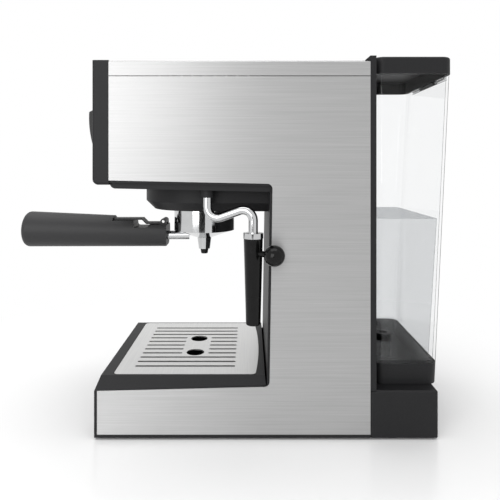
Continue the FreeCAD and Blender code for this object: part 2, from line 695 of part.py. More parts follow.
def boiler_bolts():
    mid = GROUP_TOP + BOILER_HALF
    pitch = (BOILER_RADIUS + BOILER_FLANGE_RADIUS) / 2
    bolts = []
    for i in range(BOLT_COUNT):
        angle = 2 * math.pi * i / BOLT_COUNT
        place = on_brew_axis(mid + BOILER_FLANGE) + V(pitch * math.cos(angle), pitch * math.sin(angle), 0)
        bolts.append(cylinder(BOLT_RADIUS, place, place + Z_AXIS * BOILER_FLANGE))
    return Part.makeCompound(bolts)


def on_pump_axis(z):
    return V(PUMP_X, PUMP_Y, z)


def pump():
    """Vibration pump: coil frame in the middle, outlet above, inlet spigot below."""
    top = PUMP_FRAME_LOW + PUMP_FRAME_HEIGHT
    frame = rounded_box(PUMP_X - PUMP_FRAME_X, PUMP_X + PUMP_FRAME_X, PUMP_Y - PUMP_FRAME_Y,
                        PUMP_Y + PUMP_FRAME_Y, PUMP_FRAME_LOW, top, WALL)
    core = cylinder(PUMP_CORE_RADIUS, on_pump_axis(PUMP_CORE_LOW), on_pump_axis(PUMP_CORE_TOP))
    inlet = cylinder(PUMP_INLET_RADIUS, on_pump_axis(PUMP_LOW), on_pump_axis(PUMP_CORE_LOW))
    outlet = cylinder(PUMP_OUTLET_RADIUS, on_pump_axis(PUMP_CORE_TOP), on_pump_axis(PUMP_TOP))
    return fuse(frame, core, inlet, outlet)


def pump_cradle():
    """Rubber cradle that carries the pump on the base plate."""
    x_reach = PUMP_FRAME_X + CRADLE_MARGIN
    y_reach = PUMP_FRAME_Y + CRADLE_MARGIN
    top = PLATE_TOP + CRADLE_PLATE
    plate = box(PUMP_X - x_reach, PUMP_X + x_reach, PUMP_Y - y_reach, PUMP_Y + y_reach, PLATE_TOP, top)
    posts = []
    for x in (PUMP_X - PUMP_FRAME_X, PUMP_X + PUMP_FRAME_X - CRADLE_POST):
        posts.append(box(x, x + CRADLE_POST, PUMP_Y - PUMP_FRAME_Y, PUMP_Y + PUMP_FRAME_Y, top,
                         PUMP_FRAME_LOW))
    return fuse(plate, *posts)


def suction_hose():
    """Hose from the tank's socket along the floor to the pump inlet."""
    points = [V(0, INLET_Y, SOCKET_FLOOR), V(0, INLET_Y, HOSE_FLOOR), V(PUMP_X, INLET_Y, HOSE_FLOOR),
              on_pump_axis(HOSE_FLOOR), on_pump_axis(PUMP_LOW)]
    return swept_bar(points, HOSE_RADIUS, HOSE_BEND)


def pressure_tube():
    """Tube from the pump outlet up the column and over to the top of the boiler."""
    points = [on_pump_axis(PUMP_TOP), on_pump_axis(TUBE_CREST), V(0, PUMP_Y, TUBE_CREST),
              on_brew_axis(TUBE_CREST), on_brew_axis(BOILER_TOP)]
    return swept_bar(points, TUBE_RADIUS, TUBE_BEND)


def steam_valve():
    """Solenoid valve on top of the wand's socket."""
    return rounded_box(WAND_X - VALVE_HALF, WAND_X + VALVE_HALF, WAND_Y - VALVE_HALF, WAND_Y + VALVE_HALF,
                       SOCKET_TOP, SOCKET_TOP + VALVE_HEIGHT, WALL)


def steam_feed(boiler_shape):
    """Tube from the side of the boiler to the steam valve."""
    z = SOCKET_TOP + VALVE_HEIGHT - FEED_DROP
    tube = cylinder(FEED_RADIUS, V(0, WAND_Y, z), V(WAND_X - VALVE_HALF, WAND_Y, z))
    return tube.cut(boiler_shape)


def wand_socket():
    """Black swivel socket of the steam wand, through the head's underside."""
    low, top = V(WAND_X, WAND_Y, SOCKET_LOW), V(WAND_X, WAND_Y, SOCKET_TOP)
    bore = cylinder(PIPE_RADIUS + RUNNING, low, V(WAND_X, WAND_Y, PIPE_TOP + GAP))
    return cylinder(SOCKET_RADIUS, low, top).cut(bore)


# Portafilter
def portafilter_bowl():
    """Chromed holder: straight wall, cone floor, two locking lugs and the neck to the handle."""
    low = BOWL_LOW - CONE_DROP
    inner = BOWL_RADIUS - BOWL_WALL
    profile = [(SPOUT_BORE, low), (SPOUT_TOP_RADIUS, low), (BOWL_RADIUS, BOWL_LOW), (BOWL_RADIUS, BOWL_TOP),
               (inner, BOWL_TOP), (inner, BOWL_LOW + BOWL_WALL / 2), (SPOUT_TOP_RADIUS, low + BOWL_WALL),
               (SPOUT_BORE, low + BOWL_WALL)]
    bowl = revolve_z(profile, GROUP_Y)
    lugs = [sector(BOWL_RADIUS + LUG_REACH, inner, LIP_TOP + GAP, LIP_TOP + GAP + LUG_HEIGHT, start, LUG_ARC)
            for start in lug_starts()]
    cavity = revolve_z([(0, low + BOWL_WALL), (SPOUT_TOP_RADIUS, low + BOWL_WALL),
                        (inner, BOWL_LOW + BOWL_WALL / 2), (inner, BOWL_TOP), (0, BOWL_TOP)], GROUP_Y)
    return fuse(bowl, neck().cut(cavity), *lugs)


def neck():
    return cylinder(NECK_RADIUS, V(0, HANDLE_HEAD - NECK_IN_HANDLE, NECK_Z),
                    V(0, GROUP_Y - BOWL_RADIUS / 2, NECK_Z))


def filter_basket():
    """Pressed steel cup whose rim hangs on the holder's wall."""
    rim = BOWL_TOP
    floor = rim - BASKET_DEPTH
    outer = BOWL_RADIUS - BOWL_WALL - GAP
    inner = outer - BASKET_WALL
    profile = [(0, floor), (outer - BASKET_ROUND, floor), (outer, floor + BASKET_ROUND), (outer, rim),
               (BOWL_RADIUS, rim), (BOWL_RADIUS, rim + BASKET_WALL), (inner, rim + BASKET_WALL),
               (inner, floor + BASKET_ROUND + BASKET_WALL / 2), (inner - BASKET_ROUND, floor + BASKET_WALL),
               (0, floor + BASKET_WALL)]
    return revolve_z(profile, GROUP_Y)


def spout():
    top = BOWL_LOW - CONE_DROP
    low = top - SPOUT_LENGTH
    outer = cone(SPOUT_TOP_RADIUS, SPOUT_LOW_RADIUS, on_brew_axis(top), on_brew_axis(low))
    return outer.cut(cylinder(SPOUT_BORE, on_brew_axis(top), on_brew_axis(low)))


def spout_tip():
    """Rubber nozzle at the end of the spout."""
    top = BOWL_LOW - CONE_DROP - SPOUT_LENGTH
    low = top - TIP_LENGTH
    tip = cone(TIP_RADIUS, TIP_RADIUS - TIP_TAPER, on_brew_axis(top), on_brew_axis(low))
    tip = tip.makeFillet(TIP_TAPER, [e for e in tip.Edges if e.BoundBox.ZMax < low + GAP])
    return tip.cut(cylinder(SPOUT_BORE, on_brew_axis(top), on_brew_axis(low)))


def clip_pin():
    reach = X_AXIS * (CLIP_HALF_WIDTH + GAP + EAR_THICK)
    place = V(0, CLIP_AXIS_Y, CLIP_AXIS_Z)
    return cylinder(CLIP_PIN_RADIUS, place - reach, place + reach)


def handle():
    """Moulded grip: tapering barrel with a round butt, and a stepped flat under the basket clip."""
    butt, head = V(0, HANDLE_BUTT, HANDLE_BUTT_Z), V(0, HANDLE_HEAD, HANDLE_HEAD_Z)
    barrel = cone(HANDLE_BUTT_RADIUS, HANDLE_HEAD_RADIUS, butt, head)
    butt_rim = [e for e in barrel.Edges if e.BoundBox.YMax < HANDLE_BUTT + WALL]
    barrel = barrel.makeFillet(HANDLE_ROUND, butt_rim)
    above = HANDLE_BUTT_Z + 2 * HANDLE_BUTT_RADIUS
    beyond = HANDLE_HEAD + HANDLE_HEAD_RADIUS
    wide = HANDLE_BUTT_RADIUS + WALL
    flat = side_prism([(FLAT_START, above), (FLAT_START, FLAT_Z), (FLAT_DROP_Y, FLAT_Z),
                       (FLAT_DROP_Y + FLAT_Z - FLAT_HEAD_Z, FLAT_HEAD_Z), (beyond, FLAT_HEAD_Z),
                       (beyond, above)],
                      -wide, wide)
    slot = box(-wide, wide, FLAT_DROP_Y - FINGER_SLOT_LENGTH / 2, FLAT_DROP_Y + FINGER_SLOT_LENGTH / 2,
               FLAT_Z - FINGER_SLOT_DEPTH, FLAT_Z)
    slot = slot.makeFillet(WALL, [e for e in edges_along(slot, X_AXIS) if e.CenterOfMass.z < FLAT_Z - GAP])
    low = HANDLE_HEAD_Z - HANDLE_HEAD_RADIUS
    toe = side_prism([(HANDLE_HEAD - TOE_BEVEL, low - WALL), (HANDLE_HEAD + WALL, low + TOE_BEVEL + WALL),
                      (HANDLE_HEAD + WALL, low - WALL)], -wide, wide)
    grip = barrel.cut(flat).cut(slot).cut(toe)
    ears = []
    for side in (-1, 1):
        near, far = sorted((side * (CLIP_HALF_WIDTH + GAP), side * (CLIP_HALF_WIDTH + GAP + EAR_THICK)))
        eye = cylinder(CLIP_EYE_RADIUS, V(near, CLIP_AXIS_Y, CLIP_AXIS_Z), V(far, CLIP_AXIS_Y, CLIP_AXIS_Z))
        post = box(near, far, CLIP_AXIS_Y - CLIP_EYE_RADIUS, CLIP_AXIS_Y + CLIP_EYE_RADIUS,
                   FLAT_HEAD_Z - WALL, CLIP_AXIS_Z)
        ears += [eye, post]
    return fuse(grip, *ears).cut(neck()).cut(clip_pin())


def basket_clip():
    """Thumb lever that lies back along the handle and flips up about its eye."""
    half = X_AXIS * CLIP_HALF_WIDTH
    place = V(0, CLIP_AXIS_Y, CLIP_AXIS_Z)
    eye = cylinder(CLIP_EYE_RADIUS, place - half, place + half)
    low = FLAT_Z + GAP
    near = FLAT_HEAD_Z + GAP
    bend = FLAT_DROP_Y + FLAT_Z - FLAT_HEAD_Z
    lever = side_prism([(CLIP_AXIS_Y, near), (CLIP_AXIS_Y, near + CLIP_THICK), (bend, near + CLIP_THICK),
                        (FLAT_DROP_Y, low + CLIP_THICK), (FLAT_START + GAP, low + CLIP_THICK),
                        (FLAT_START + GAP, low), (FLAT_DROP_Y, low), (bend, near)],
                       -CLIP_HALF_WIDTH, CLIP_HALF_WIDTH)
    bore = cylinder(CLIP_PIN_RADIUS + RUNNING, place - half, place + half)
    return fuse(eye, lever).cut(bore)


# Steam wand
def steam_pipe():
    """Bent chromed pipe from the socket, round the housing and down into the sleeve."""
    points = [V(WAND_X, WAND_Y, PIPE_TOP), V(WAND_X, WAND_Y, PIPE_DIP), V(SLEEVE_X, SLEEVE_Y, PIPE_CREST),
              V(SLEEVE_X, SLEEVE_Y, SLEEVE_LOW + NOZZLE_DEPTH)]
    return swept_bar(points, PIPE_RADIUS, PIPE_BEND)


def on_wand(z):
    return V(SLEEVE_X, SLEEVE_Y, z)


def wand_nut(pipe):
    nut = cylinder(NUT_RADIUS, on_wand(SLEEVE_TOP), on_wand(SLEEVE_TOP + NUT_HEIGHT))
    return nut.cut(pipe)


def wand_sleeve(pipe, stem):
    """Tapered black grip over the pipe, with the steam nozzle at its foot."""
    sleeve = cone(SLEEVE_TOP_RADIUS, SLEEVE_LOW_RADIUS, on_wand(SLEEVE_TOP), on_wand(SLEEVE_LOW))
    sleeve = sleeve.makeFillet(SLEEVE_ROUND, [e for e in sleeve.Edges if e.BoundBox.ZMax < SLEEVE_LOW + GAP])
    nozzle = cylinder(NOZZLE_BORE, on_wand(SLEEVE_LOW), on_wand(SLEEVE_LOW + NOZZLE_DEPTH))
    return sleeve.cut(pipe).cut(nozzle).cut(stem)


def wand_stem():
    ball = V(BALL_X, BALL_Y, BALL_Z)
    outward = (ball - on_wand(BALL_Z)).normalize()
    return cylinder(STEM_RADIUS, on_wand(BALL_Z) + outward * (PIPE_RADIUS + GAP), ball)


def wand_knob():
    """Ball grip on a short stem that stands out from the sleeve."""
    return fuse(Part.makeSphere(BALL_RADIUS, V(BALL_X, BALL_Y, BALL_Z)), wand_stem())


# Drip tray
def grid_block(margin, z0, z1):
    """Grid plan with its bowed rear edge, grown by a margin all round."""
    half, front, rear = GRID_HALF + margin, GRID_FRONT - margin, GRID_REAR + margin
    bow = Part.Arc(V(half, rear, z0), V(0, rear + GRID_BOW, z0), V(-half, rear, z0)).toShape()
    corners = [V(-half, rear, z0), V(-half, front, z0), V(half, front, z0), V(half, rear, z0)]
    sides = [Part.LineSegment(a, b).toShape() for a, b in zip(corners, corners[1:])]
    solid = Part.Face(Part.Wire([bow] + sides)).extrude(V(0, 0, z1 - z0))
    return solid.makeFillet(GRID_CORNER, edges_along(solid, Z_AXIS))


def drip_tray():
    """Black drawer: front plate, sloping rim over the steel sides, and the sump below the grid."""
    rim_low = BASE_TOP_FRONT
    rim = frustum((HALF_WIDTH, BODY_FRONT, TRAY_REAR, rim_low),
                  (TRAY_TOP_HALF, TRAY_TOP_FRONT, TRAY_TOP_REAR, TRAY_TOP))
    hollow = frustum((HALF_WIDTH - TRAY_WALL, BODY_FRONT + TRAY_WALL, TRAY_REAR - TRAY_WALL, rim_low),
                     (TRAY_TOP_HALF - TRAY_WALL, TRAY_TOP_FRONT + TRAY_WALL, TRAY_TOP_REAR - TRAY_WALL,
                      TRAY_TOP - TRAY_TOP_WALL))
    below = side_prism([(BASE_FRONT - GAP, rim_low), (TRAY_REAR, rim_low),
                        (TRAY_REAR, base_edge(TRAY_REAR) + GAP),
                        (BASE_FRONT - GAP, base_edge(BASE_FRONT) + GAP)], -HALF_WIDTH, HALF_WIDTH)
    rim = rim.cut(hollow).cut(below)
    front = box(-HALF_WIDTH, HALF_WIDTH, BODY_FRONT, BASE_FRONT - GAP, PLATE_TOP + GAP, rim_low)
    sump = box(-SUMP_HALF - TRAY_WALL, SUMP_HALF + TRAY_WALL, SUMP_FRONT - TRAY_WALL, SUMP_REAR + TRAY_WALL,
               SUMP_LOW - TRAY_WALL, TRAY_TOP - TRAY_TOP_WALL)
    webs = [box(x - TRAY_WALL / 2, x + TRAY_WALL / 2, BASE_FRONT - GAP, SUMP_FRONT - TRAY_WALL,
                SUMP_LOW, TRAY_TOP - TRAY_TOP_WALL) for x in (-SUMP_HALF / 2, 0, SUMP_HALF / 2)]
    cavity = rounded_box(-SUMP_HALF, SUMP_HALF, SUMP_FRONT, SUMP_REAR, SUMP_LOW, TRAY_TOP, GRID_CORNER)
    recess = grid_block(GAP, TRAY_TOP - GRID_THICK - GAP, TRAY_TOP)
    return fuse(rim, front, sump, *webs).cut(cavity).cut(recess)


def drip_grid():
    """Steel grid with long slots, broken round two finger holes."""
    low = TRAY_TOP - GRID_THICK
    grid = grid_block(0, low, TRAY_TOP)
    cuts = []
    for i in range(SLOT_COUNT):
        x = (i - (SLOT_COUNT - 1) / 2) * SLOT_PITCH
        runs = [(SLOT_FRONT, SLOT_REAR)]
        if abs(x) < CUP_HOLE_X + CUP_HOLE_RADIUS + SLOT_WIDTH:
            runs = [(SLOT_FRONT, PLAIN_FRONT), (PLAIN_REAR, SLOT_REAR)]
        cuts += [rounded_box(x - SLOT_WIDTH / 2, x + SLOT_WIDTH / 2, y0, y1, low, TRAY_TOP, SLOT_WIDTH * 0.49)
                 for y0, y1 in runs]
    cuts += [cylinder(CUP_HOLE_RADIUS, V(x, CUP_HOLE_Y, low), V(x, CUP_HOLE_Y, TRAY_TOP))
             for x in (-CUP_HOLE_X, CUP_HOLE_X)]
    return grid.cut(Part.makeCompound(cuts))


# Water tank
def tank_rear(z):
    """Rear face of the tank, which leans outwards to the top."""
    share = (z - DOCK_TOP) / (TANK_TOP - DOCK_TOP)
    return TANK_REAR_LOW + share * (TANK_REAR_TOP - TANK_REAR_LOW)


def tank_block(z0, z1, inset):
    """Tapered block with round upright corners, inset from the tank's outside."""
    half = TANK_HALF - inset
    solid = side_prism([(TANK_FRONT + inset, z0), (tank_rear(z0) - inset, z0), (tank_rear(z1) - inset, z1),
                        (TANK_FRONT + inset, z1)], -half, half)
    return solid.makeFillet(TANK_CORNER - inset, edges_along(solid, Z_AXIS))


def inlet_bore():
    return cylinder(INLET_RADIUS, V(0, INLET_Y, INLET_LOW), V(0, INLET_Y, INLET_TOP))


def hinge_bar(radius, x0, x1):
    return cylinder(radius, V(x0, HINGE_Y, HINGE_Z), V(x1, HINGE_Y, HINGE_Z))


def tank_knuckle_spans(margin):
    start = KNUCKLE_SPLIT + GAP - margin
    end = KNUCKLE_END + margin
    return [(-end, -start), (start, end)]


def water_tank():
    """Clear tank, open above, with two hinge knuckles on its rear rim."""
    tank = tank_block(TANK_FOOT_TOP, TANK_TOP, 0)
    cavity = tank_block(TANK_FOOT_TOP + TANK_WALL, TANK_TOP, TANK_WALL)
    lid_room = hinge_bar(KNUCKLE_RADIUS + GAP, -KNUCKLE_SPLIT - GAP, KNUCKLE_SPLIT + GAP)
    knuckles = [hinge_bar(KNUCKLE_RADIUS, x0, x1) for x0, x1 in tank_knuckle_spans(0)]
    tank = fuse(tank.cut(cavity), *knuckles).cut(lid_room).cut(inlet_bore())
    return tank.cut(lid_pin())


def tank_foot():
    """Black shoe under the tank, hollow round the outlet."""
    low = DOCK_TOP + GAP
    shoe = tank_block(low, TANK_FOOT_TOP, 0)
    pocket = tank_block(low + TANK_WALL, TANK_FOOT_TOP, TANK_WALL)
    return shoe.cut(pocket).cut(inlet_bore())


def tank_outlet():
    """Valve housing in the tank's floor, which plugs into the dock's socket."""
    bore = cylinder(INLET_RADIUS / 2, V(0, INLET_Y, INLET_LOW), V(0, INLET_Y, INLET_TOP))
    return inlet_bore().cut(bore)


def lid_pin():
    return hinge_bar(HINGE_PIN_RADIUS, -KNUCKLE_END, KNUCKLE_END)


def tank_lid():
    """Black lid, open below, with the middle knuckle of its hinge at the rear."""
    low = TANK_TOP + GAP
    lid = rounded_box(-LID_HALF, LID_HALF, TANK_FRONT, LID_REAR, low, LID_TOP, LID_CORNER)
    top_edges = [e for e in lid.Edges if e.BoundBox.ZMin > LID_TOP - GAP]
    lid = lid.makeFillet(LID_EDGE, top_edges)
    lid = lid.cut(rounded_box(-LID_HALF + WALL, LID_HALF - WALL, TANK_FRONT + WALL, LID_REAR - WALL, low,
                              LID_TOP - WALL, LID_CORNER - WALL))
    for x0, x1 in tank_knuckle_spans(GAP):
        lid = lid.cut(hinge_bar(KNUCKLE_RADIUS + GAP, x0, x1))
    knuckle = hinge_bar(KNUCKLE_RADIUS, -KNUCKLE_SPLIT, KNUCKLE_SPLIT)
    link = box(-KNUCKLE_SPLIT, KNUCKLE_SPLIT, LID_REAR - WALL, HINGE_Y, low, low + HINGE_LINK)
    bore = hinge_bar(HINGE_PIN_RADIUS + RUNNING, -KNUCKLE_SPLIT, KNUCKLE_SPLIT)
    return fuse(lid, knuckle, link).cut(bore)


def build_nodes():
    underside = head_underside()
    boiler_shape = boiler()
    hose = suction_hose()
    pipe = steam_pipe()
    nodes = {
        "side_panel_right": side_panel(PANEL_INNER, HALF_WIDTH),
        "side_panel_left": side_panel(-HALF_WIDTH, -PANEL_INNER),
        "head_underside": underside,
        "column_front": column_front(underside),
        "tank_dock": tank_dock(hose),
        "suction_hose": hose,
        "boiler": boiler_shape,
        "steam_feed": steam_feed(boiler_shape),
        "steam_pipe": pipe,
        "wand_nut": wand_nut(pipe),
        "wand_sleeve": wand_sleeve(pipe, wand_stem()),
    }
    plain = (top_cover, base_plate, rubber_feet, control_panel, rocker_pins, indicator_lenses, control_board,
             rear_panel, inlet_seal, cord_gland, group_head, group_gasket, shower_screen, screen_screw,
             boiler_bolts, pump, pump_cradle, pressure_tube, steam_valve, wand_socket, portafilter_bowl,
             filter_basket, spout, spout_tip, clip_pin, handle, basket_clip, wand_knob, drip_tray, drip_grid,
             water_tank, tank_foot, tank_outlet, lid_pin, tank_lid)
    nodes.update({maker.__name__: maker() for maker in plain})
    nodes.update({name: rocker(x) for name, x in ROCKER_XS.items()})
    return nodes


os.makedirs("parts", exist_ok=True)
for node, shape in build_nodes().items():
    shape.translate(V(-MIDDLE_X, -MIDDLE_Y, 0))
    shape.exportStep("parts/" + node + ".step")
    print(node, shape.isValid(), len(shape.Solids), round(shape.Volume))
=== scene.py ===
"""Looks of the espresso machine: finishes, softened edges, the water in the tank, light and camera."""

import json
import math

import bmesh
import bpy
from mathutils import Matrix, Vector


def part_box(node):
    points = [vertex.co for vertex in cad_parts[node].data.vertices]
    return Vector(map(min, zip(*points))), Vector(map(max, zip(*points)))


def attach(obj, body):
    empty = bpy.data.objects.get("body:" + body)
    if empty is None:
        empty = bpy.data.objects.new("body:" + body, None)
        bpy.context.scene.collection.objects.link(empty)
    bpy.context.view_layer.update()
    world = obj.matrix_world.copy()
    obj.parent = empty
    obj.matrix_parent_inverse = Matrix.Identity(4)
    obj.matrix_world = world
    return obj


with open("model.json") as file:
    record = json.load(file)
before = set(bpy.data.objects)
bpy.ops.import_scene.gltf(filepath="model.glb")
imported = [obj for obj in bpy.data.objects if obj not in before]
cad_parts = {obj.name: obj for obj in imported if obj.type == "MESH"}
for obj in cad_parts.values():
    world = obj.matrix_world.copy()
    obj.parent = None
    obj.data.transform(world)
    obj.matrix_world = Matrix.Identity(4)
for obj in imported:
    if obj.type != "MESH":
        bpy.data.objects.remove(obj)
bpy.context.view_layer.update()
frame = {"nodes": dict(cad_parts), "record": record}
nodes = frame["nodes"]

# Camera, solved from the photograph's perspective: level, and looking along -X
CAMERA_PLACE = (0.50835, 0.02165, 0.2334)
CAMERA_TURN = (math.radians(90), 0, math.radians(90))
CAMERA_LENS = 37.15        # millimetres
SENSOR_WIDTH = 36.0        # millimetres
CAMERA_SHIFT_Y = -0.17     # the horizon lies above the middle of the frame

# Water in the tank, in metres
WATER_LEVEL = 0.186
WATER_RISE = 0.0031        # tank's underside to the underside of the water
WATER_INSET = 0.0028       # tank's outside to the water
WATER_REAR_INSET = 0.0064  # the same at the rear wall, which leans
WATER_CORNER = 0.006
CORNER_STEPS = 4

# Floor: it takes the shadow near the machine and turns plain white further out
FLOOR_SIZE = 8.0
SHADOW_REACH = (0.06, 0.30)     # distance from the footprint

# Lamps: place, width and height, and power in watts
LAMPS = {"key_front": ((1.38, -0.61, 0.48), (0.9, 1.0), 9.4),
         "overhead": ((0.0, -0.1, 1.5), (1.4, 1.4), 12)}
LAMP_TARGET = (0, 0.03, 0.16)
FILL_STRENGTH = 0.7
WHITE_STRENGTH = 1.0
WHITE = (1, 1, 1, 1)

# Dark card behind the camera, low and upright, which only the reflections show
CARD_PLACE = (1.09, -0.10, 0.10)
CARD_SIZE = (0.44, 0.15)        # width and height

# Softened edges: width in metres by material slot, with none on the clear tank
PLASTIC_EDGE = 0.0007
EDGE_WIDTH = {"steel": 0.0004, "grid_steel": 0.0003, "chrome": 0.0003, "cast_aluminium": 0.0003,
              "brass": 0.0003, "gloss_black": 0.0006, "clear_plastic": 0.0}
EDGE_ANGLE = math.radians(32)
EDGE_SEGMENTS = 2

# Values that the materials share
NOISE_RANGE = (0.3, 0.7)        # most of the noise lies between these
RELIEF_DEPTH = 0.0002
QUARTER_TURN = 0.25
EDGE_ON = (0.71, 0.84)          # how far clear plastic is turned away where its edge darkens
GLOSS_TURN = (0.4, 1.0)         # how far it is turned away where its gloss grows
GLOSS_SHARE = (0.012, 0.10)
EVEN = (1, 1, 1)
ALONG_LENGTH = (1.0, 0.008, 1.0)
ACROSS_WIDTH = (0.02, 1.0, 1.0)


# Node material helpers
def new_material(name):
    material = bpy.data.materials.new(name)
    material.use_nodes = True
    tree = material.node_tree
    tree.nodes.clear()
    output = tree.nodes.new("ShaderNodeOutputMaterial")
    return material, tree, output


def add(tree, kind, **values):
    """Adds a node and sets its named sockets or, failing that, its properties."""
    node = tree.nodes.new(kind)
    for key, value in values.items():
        if key in node.inputs:
            node.inputs[key].default_value = value
        else:
            setattr(node, key, value)
    return node


def grey(value):
    return (value, value, value)


def object_noise(tree, scale, stretch=EVEN):
    """Noise in the object's own coordinates, stretched along chosen axes."""
    place = add(tree, "ShaderNodeTexCoord")
    mapping = add(tree, "ShaderNodeMapping", Scale=stretch)
    noise = add(tree, "ShaderNodeTexNoise", Scale=scale, Detail=4.0)
    tree.links.new(place.outputs["Object"], mapping.inputs["Vector"])
    tree.links.new(mapping.outputs["Vector"], noise.inputs["Vector"])
    return noise.outputs["Fac"]


def colour_ramp(tree, noise, low, high):
    """Turns the noise into a colour between low and high."""
    ramp = add(tree, "ShaderNodeValToRGB")
    for stop, position, colour in zip(ramp.color_ramp.elements, NOISE_RANGE, (low, high)):
        stop.position = position
        stop.color = (*colour, 1)
    tree.links.new(noise, ramp.inputs["Fac"])
    return ramp.outputs["Color"]


def value_range(tree, source, wanted, given=NOISE_RANGE):
    """Moves a value from the given range to the wanted one."""
    remap = add(tree, "ShaderNodeMapRange")
    for name, value in zip(("From Min", "From Max", "To Min", "To Max"), (*given, *wanted)):
        remap.inputs[name].default_value = value
    tree.links.new(source, remap.inputs["Value"])
    return remap.outputs["Result"]


def mixed(tree, factor, first, second):
    """Mixes two shaders: the first where the factor is 0, the second where it is 1."""
    mix = add(tree, "ShaderNodeMixShader")
    tree.links.new(factor, mix.inputs["Fac"])
    tree.links.new(first, mix.inputs[1])
    tree.links.new(second, mix.inputs[2])
    return mix.outputs["Shader"]


def seen_directly(tree):
    """1 for rays from the lens, from a mirror-like surface or through glass, 0 for light on things."""
    path = add(tree, "ShaderNodeLightPath")
    total = path.outputs["Is Camera Ray"]
    for name in ("Is Glossy Ray", "Is Transmission Ray"):
        larger = add(tree, "ShaderNodeMath", operation="MAXIMUM")
        tree.links.new(total, larger.inputs[0])
        tree.links.new(path.outputs[name], larger.inputs[1])
        total = larger.outputs["Value"]
    return total


def surface(name, low, high, roughness, metallic=0.0, scale=900.0, stretch=EVEN, bump=0.0, coat=0.0,
            specular=0.5, brushed=0.0):
    """A Principled surface whose colour, roughness and relief all vary with one stretched noise.

    A brushed surface spreads its highlights upright, across level brush lines.
    """
    material, tree, output = new_material(name)
    shader = add(tree, "ShaderNodeBsdfPrincipled", Metallic=metallic)
    if brushed:
        tangent = add(tree, "ShaderNodeTangent", direction_type="RADIAL", axis="Z")
        shader.inputs["Anisotropic"].default_value = brushed
        shader.inputs["Anisotropic Rotation"].default_value = QUARTER_TURN
        tree.links.new(tangent.outputs["Tangent"], shader.inputs["Tangent"])
    shader.inputs["Coat Weight"].default_value = coat
    shader.inputs["Specular IOR Level"].default_value = specular
    noise = object_noise(tree, scale, stretch)
    tree.links.new(colour_ramp(tree, noise, low, high), shader.inputs["Base Color"])
    tree.links.new(value_range(tree, noise, roughness), shader.inputs["Roughness"])
    if bump:
        relief = add(tree, "ShaderNodeBump", Strength=bump, Distance=RELIEF_DEPTH)
        tree.links.new(noise, relief.inputs["Height"])
        tree.links.new(relief.outputs["Normal"], shader.inputs["Normal"])
    tree.links.new(shader.outputs["BSDF"], output.inputs["Surface"])
    return material


def clear_plastic(name, tint, edge_colour):
    """Clear moulding: see-through faces that reflect, and darken only where they are seen edge on."""
    material, tree, output = new_material(name)
    through = add(tree, "ShaderNodeBsdfTransparent")
    gloss = add(tree, "ShaderNodeBsdfGlossy")
    noise = object_noise(tree, 30.0)
    facing = add(tree, "ShaderNodeLayerWeight", Blend=0.5).outputs["Facing"]
    edge = add(tree, "ShaderNodeMix", data_type="RGBA")
    edge.inputs["B"].default_value = (*edge_colour, 1)
    faces = colour_ramp(tree, noise, tuple(c - 0.004 for c in tint), tint)
    tree.links.new(value_range(tree, facing, (0.0, 1.0), EDGE_ON), edge.inputs["Factor"])
    tree.links.new(faces, edge.inputs["A"])
    tree.links.new(edge.outputs["Result"], through.inputs["Color"])
    tree.links.new(value_range(tree, noise, (0.03, 0.05)), gloss.inputs["Roughness"])
    share = value_range(tree, facing, GLOSS_SHARE, GLOSS_TURN)
    tree.links.new(mixed(tree, share, through.outputs["BSDF"], gloss.outputs["BSDF"]),
                   output.inputs["Surface"])
    return material


# Materials by slot: two colours, then the range of roughness
MATERIALS = {
    "steel": surface("brushed_steel", grey(0.41), grey(0.48), (0.43, 0.49), metallic=1.0, scale=1700.0,
                     stretch=ALONG_LENGTH, bump=0.02, brushed=0.7),
    "grid_steel": surface("satin_steel", grey(0.60), (0.68, 0.68, 0.67), (0.34, 0.42), metallic=1.0,
                          scale=1200.0, stretch=ACROSS_WIDTH, bump=0.02),
    "black_plastic": surface("matt_black", (0.010, 0.010, 0.011), (0.016, 0.016, 0.017), (0.45, 0.58),
                             scale=1400.0, bump=0.04, specular=0.22),
    "handle_plastic": surface("handle_black", (0.026, 0.026, 0.027), (0.036, 0.036, 0.037), (0.42, 0.55),
                              scale=1600.0, bump=0.10, specular=0.26),
    "gloss_black": surface("gloss_black", grey(0.003), grey(0.005), (0.12, 0.18), scale=200.0, specular=0.2),
    "chrome": surface("chrome", (0.53, 0.535, 0.54), (0.57, 0.575, 0.58), (0.05, 0.09), metallic=1.0,
                      scale=120.0),
    "rubber": surface("rubber_black", grey(0.008), grey(0.014), (0.6, 0.8), specular=0.2),
    "cast_aluminium": surface("cast_aluminium", (0.5, 0.5, 0.51), (0.6, 0.6, 0.61), (0.4, 0.6), metallic=1.0,
                              scale=800.0, bump=0.2),
    "brass": surface("brass", (0.6, 0.45, 0.2), (0.7, 0.55, 0.28), (0.25, 0.4), metallic=1.0, scale=300.0),
    "pump_plastic": surface("pump_black", (0.05, 0.05, 0.055), (0.08, 0.08, 0.085), (0.45, 0.6), scale=800.0),
    "lens": surface("red_lens", (0.35, 0.02, 0.01), (0.5, 0.03, 0.015), (0.08, 0.14), scale=300.0, coat=0.5),
    "clear_plastic": clear_plastic("clear_tank", (0.988, 0.990, 0.991), (0.05, 0.052, 0.055)),
}


def soften(obj, width):
    """Rounds the sharp edges a little, so that they catch the light, and keeps flat faces flat."""
    bevel = obj.modifiers.new("soft_edges", "BEVEL")
    bevel.width = width
    bevel.segments = EDGE_SEGMENTS
    bevel.limit_method = "ANGLE"
    bevel.angle_limit = EDGE_ANGLE
    bevel.harden_normals = True


def finish_nodes():
    """Gives each CAD node the material of its slot and softened edges."""
    slots = {part["node"]: part["material_slot"] for part in frame["record"]["subparts"]}
    for name, obj in nodes.items():
        slot = slots[name]
        obj.data.materials.clear()
        obj.data.materials.append(MATERIALS[slot])
        width = EDGE_WIDTH.get(slot, PLASTIC_EDGE)
        if width:
            soften(obj, width)


